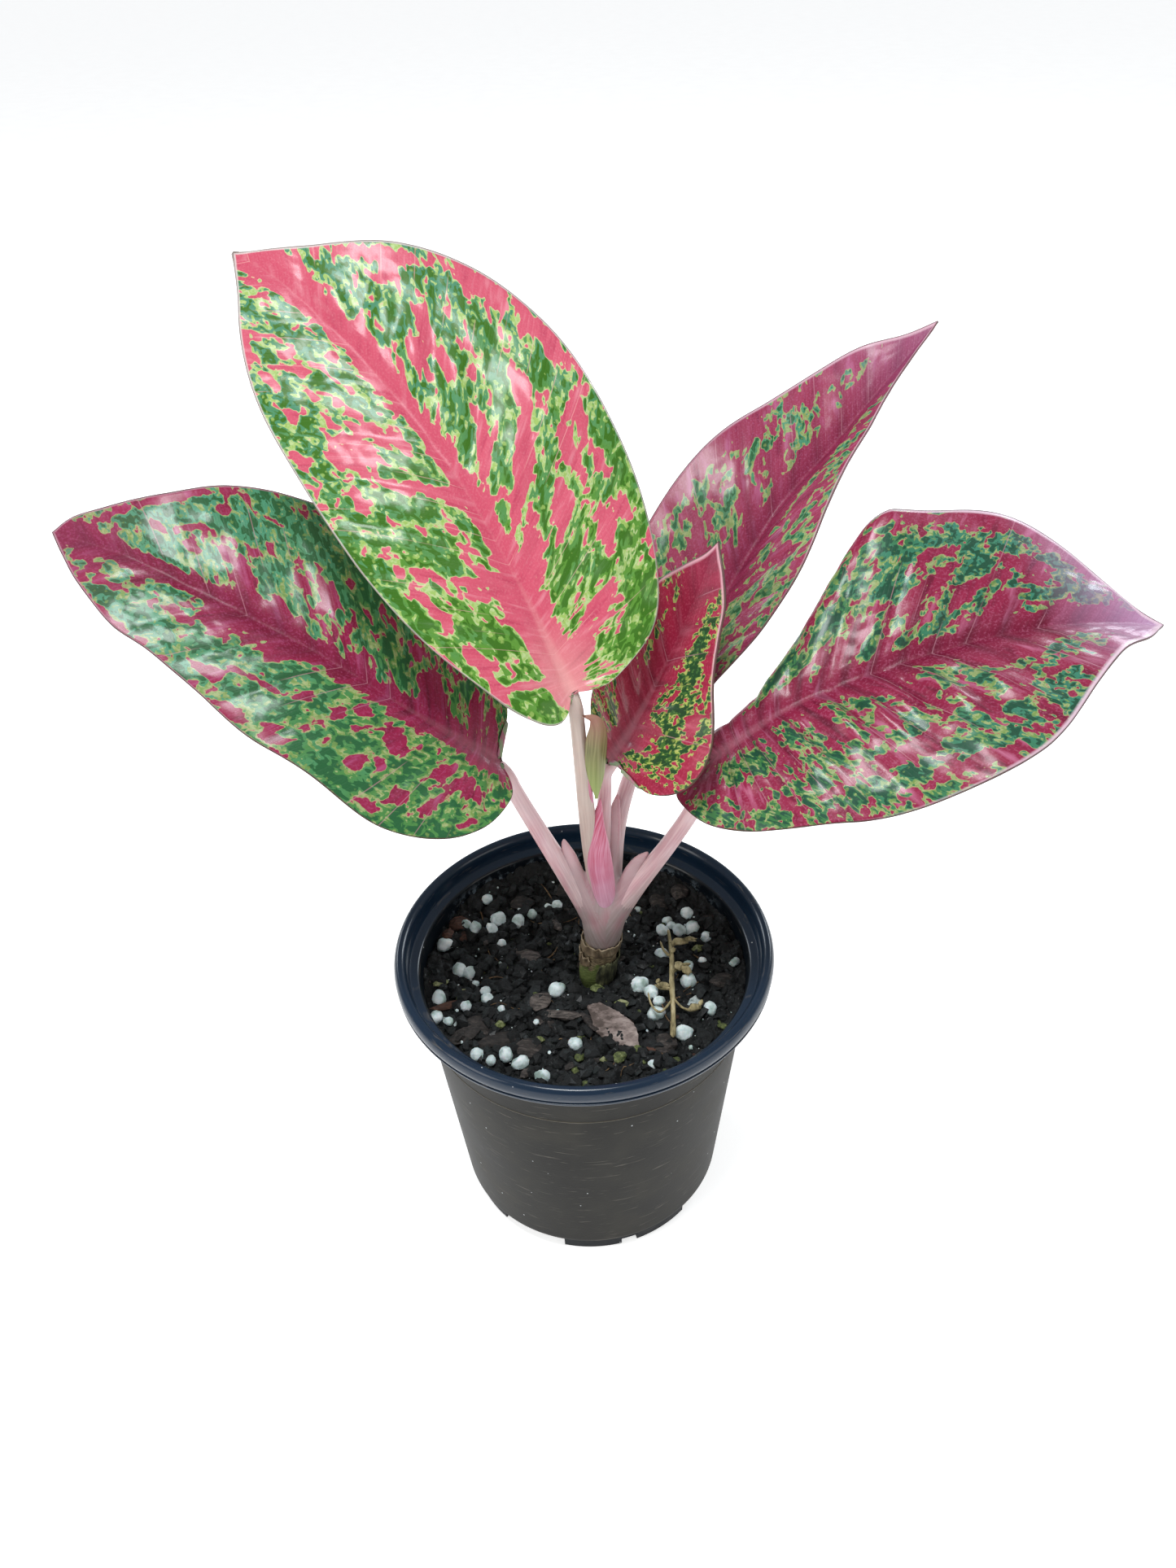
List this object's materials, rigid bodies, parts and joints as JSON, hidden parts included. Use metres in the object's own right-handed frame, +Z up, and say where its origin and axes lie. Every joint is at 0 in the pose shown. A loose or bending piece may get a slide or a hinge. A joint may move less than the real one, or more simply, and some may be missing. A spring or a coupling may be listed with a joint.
{
  "type": "potted red stardust aglaonema",
  "caption": "Small potted aroid with broad pointed leaves mottled pink, red and green on pale pink stalks, in a black round nursery pot with perlite soil.",
  "frame": {"origin": "on the ground under the middle of the pot", "axes": "+Z up along the pot's axis; +X to the right and +Y away from the viewer of the picture; the leaves spread furthest along X"},
  "size_m": [0.2831, 0.1427, 0.2682],
  "materials": {
    "pot_plastic": "satin black, faintly scuffed, glossier on the rim",
    "potting_soil": "moist dark bark and peat mix with white perlite",
    "bark": "rough, grey-brown",
    "dry_stem": "dry, fibrous",
    "cane": "brown and greenish, with ring scars",
    "pink_stalk": "smooth, waxy, pale pink",
    "coral_leaf": "glossy, coral pink and green mottling with yellow-green edges",
    "crimson_leaf": "glossy, crimson and green mottling with yellow-green edges",
    "green_hood": "satin light green, brown at the tip"
  },
  "bodies": {
    "root": {"pot": "pot_plastic", "soil": "potting_soil", "bark_flake": "bark", "dry_twig": "dry_stem", "cane": "cane", "leaf_stalks": "pink_stalk", "blade_top": "coral_leaf", "blade_left": "crimson_leaf", "blade_right": "crimson_leaf", "blade_back": "crimson_leaf", "blade_young": "crimson_leaf", "hood": "green_hood"}
  },
  "joints": []
}
